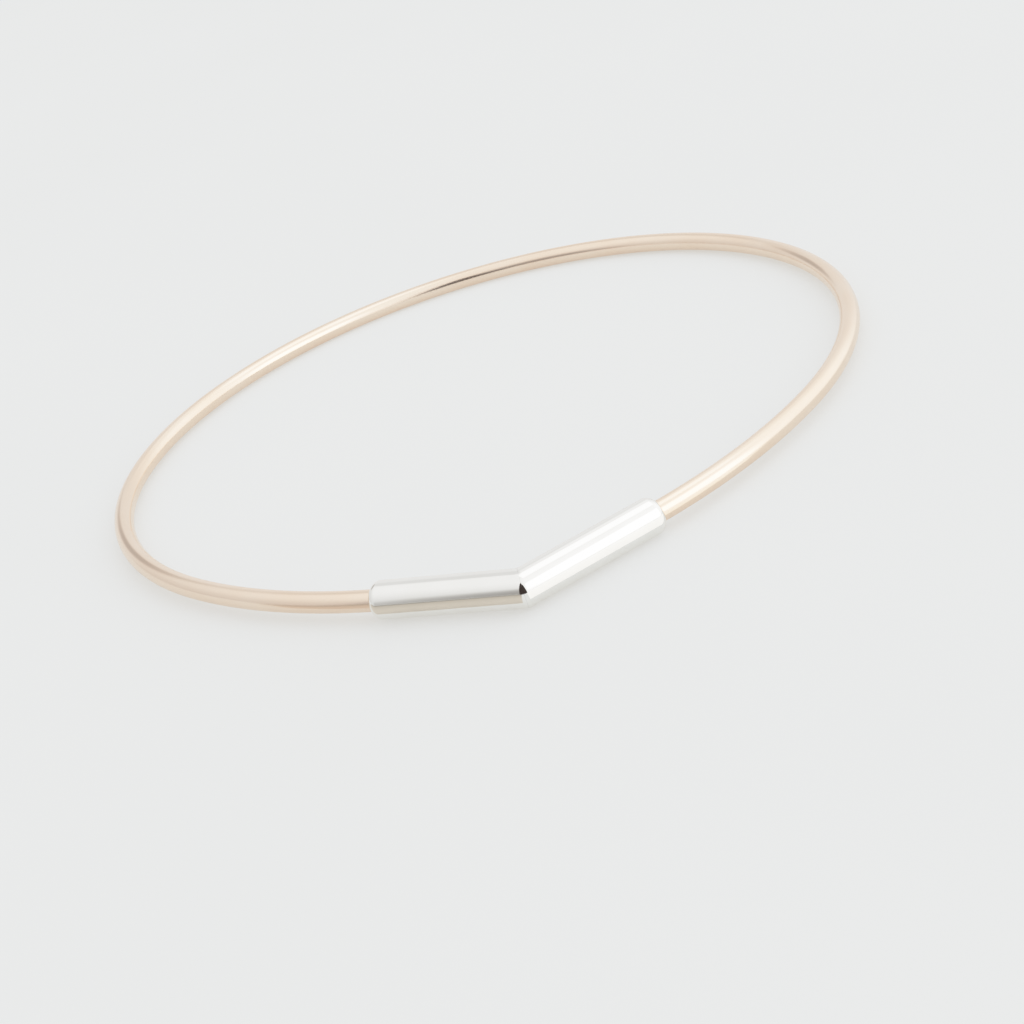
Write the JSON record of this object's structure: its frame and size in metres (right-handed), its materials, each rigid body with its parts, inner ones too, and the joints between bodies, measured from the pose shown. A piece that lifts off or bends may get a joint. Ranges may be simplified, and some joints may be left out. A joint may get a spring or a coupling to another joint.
{
  "type": "bangle bracelet",
  "caption": "Slip-on bangle: a thin round wire hoop whose ends are bonded into a small mitred tube V at the front.",
  "frame": {"origin": "centre of the hoop's circle, in the plane of the wire", "axes": "+Z out of the hoop along the wrist, -Y towards the point of the V, +X to the right with the V in front"},
  "size_m": [0.0636, 0.069, 0.0028],
  "materials": {
    "hoop_plating": "satin champagne-gold plating",
    "v_silver": "polished silver",
    "silver_solder": "polished flush with the tubes",
    "bond_resin": "clear cured resin"
  },
  "bodies": {
    "root": {"hoop_wire": "hoop_plating", "left_leg": "v_silver", "right_leg": "v_silver", "mitre_solder": "silver_solder", "left_bond": "bond_resin", "right_bond": "bond_resin"}
  },
  "joints": []
}
